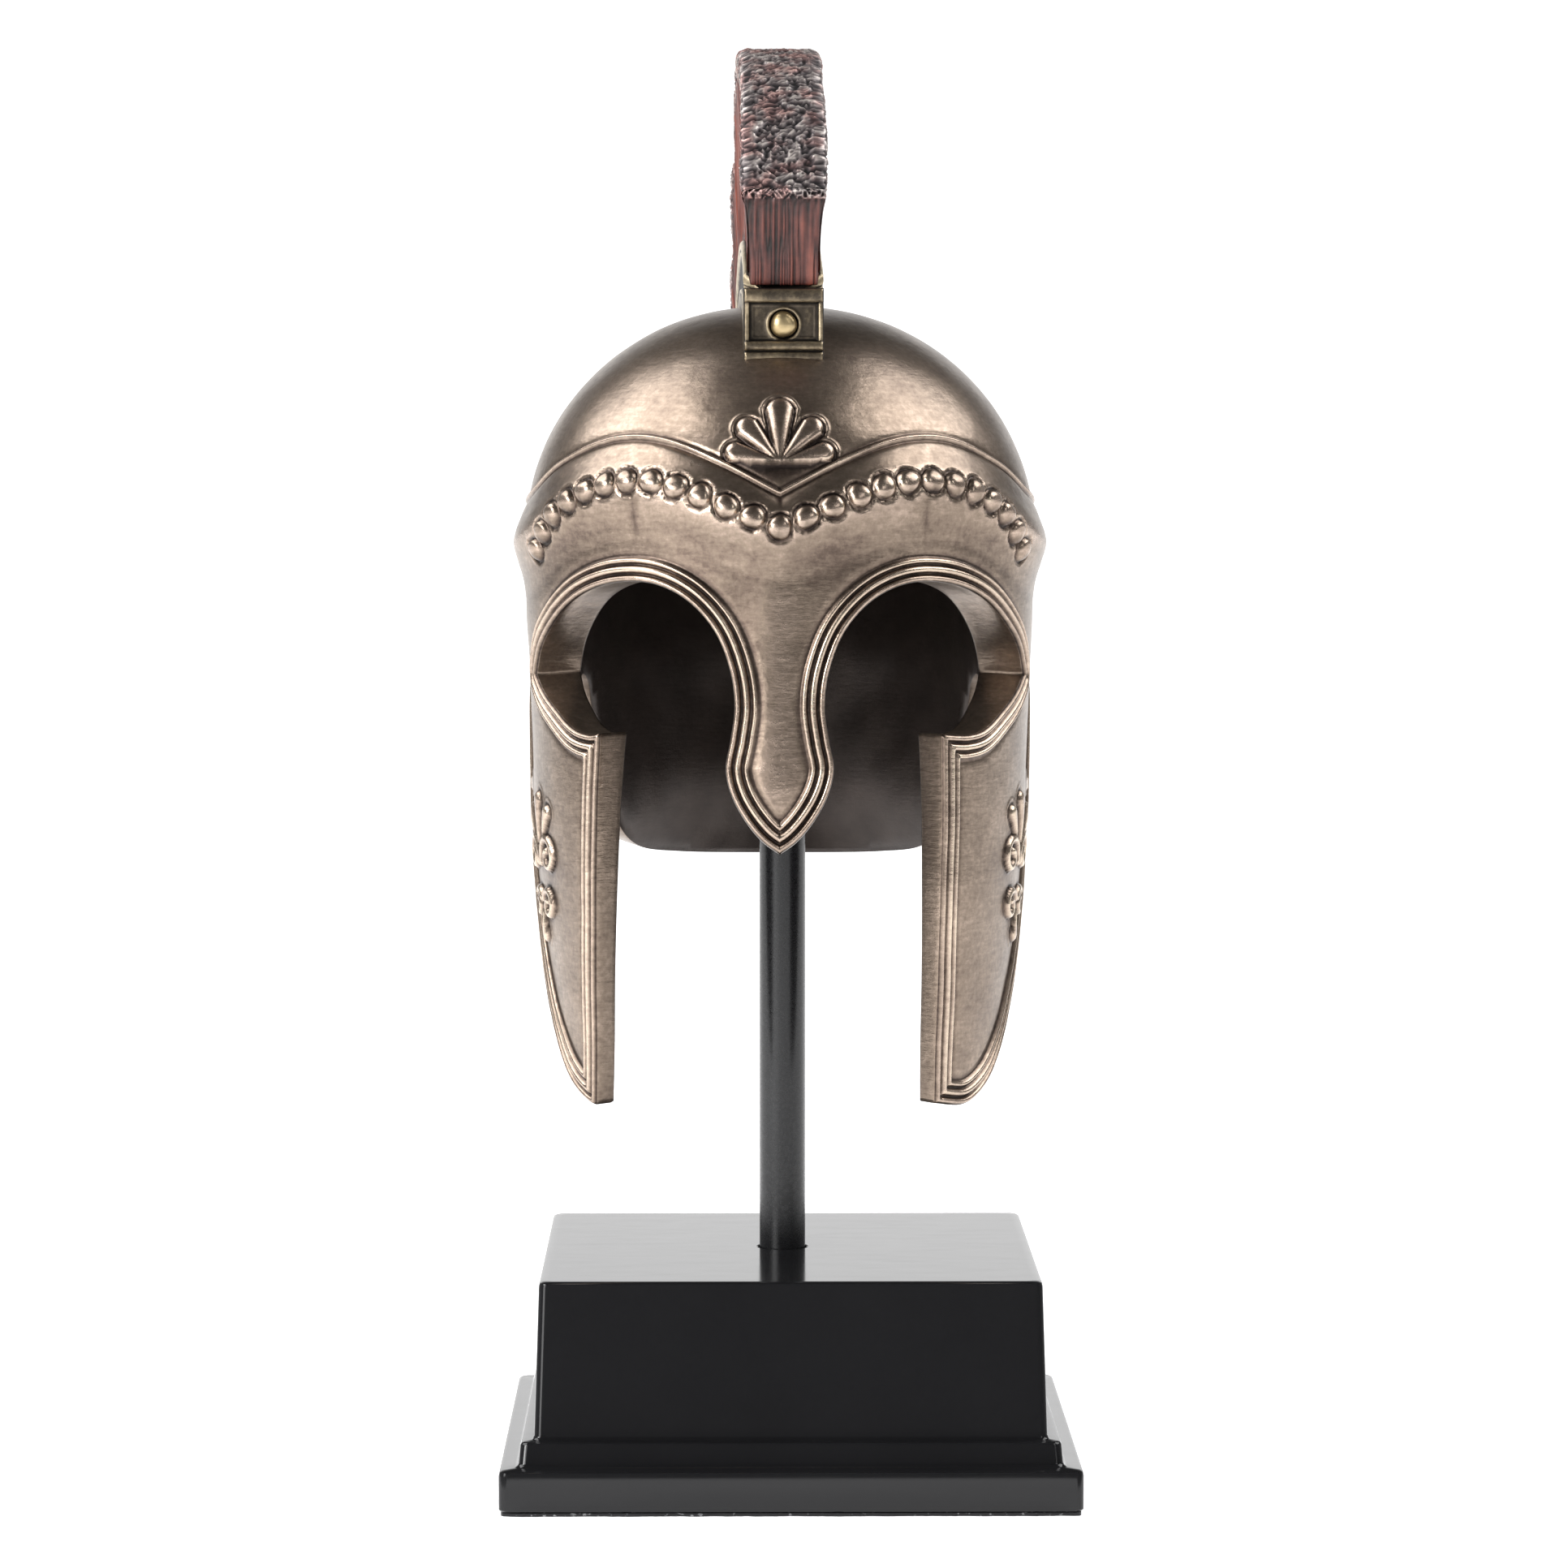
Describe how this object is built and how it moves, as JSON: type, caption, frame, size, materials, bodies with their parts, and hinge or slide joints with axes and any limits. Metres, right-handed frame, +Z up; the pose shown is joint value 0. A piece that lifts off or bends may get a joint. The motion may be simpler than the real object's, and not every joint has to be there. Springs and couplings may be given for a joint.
{
  "type": "miniature crested helmet with its display stand",
  "caption": "Desk-size bronze-look Greek helmet with nose guard, cheek guards and a horsehair crest, carried on a rod above a black stepped plinth.",
  "frame": {"origin": "on the rod's axis at the underside of the plinth's pad, where the object stands", "axes": "+Z up; the helmet faces -Y; +X is to the right of someone facing it"},
  "size_m": [0.111, 0.1575, 0.2781],
  "materials": {
    "bronze": "antique bronze casting, champagne on the raised parts and dark brown in the grooves",
    "aged_brass": "aged brass, dark in the recesses",
    "stud_gold": "rubbed gold",
    "horsehair": "stiff dark red-brown hair, greying to the curled rim",
    "rod_black": "semi-gloss black",
    "plinth_lacquer": "satin black lacquer",
    "felt": "black felt"
  },
  "bodies": {
    "root": {"plinth_felt_pad": "felt", "plinth": "plinth_lacquer", "stand_rod": "rod_black", "helmet_shell": "bronze", "crest_holder": "aged_brass", "crest_holder_stud": "stud_gold", "crest_plume": "horsehair"}
  },
  "joints": []
}
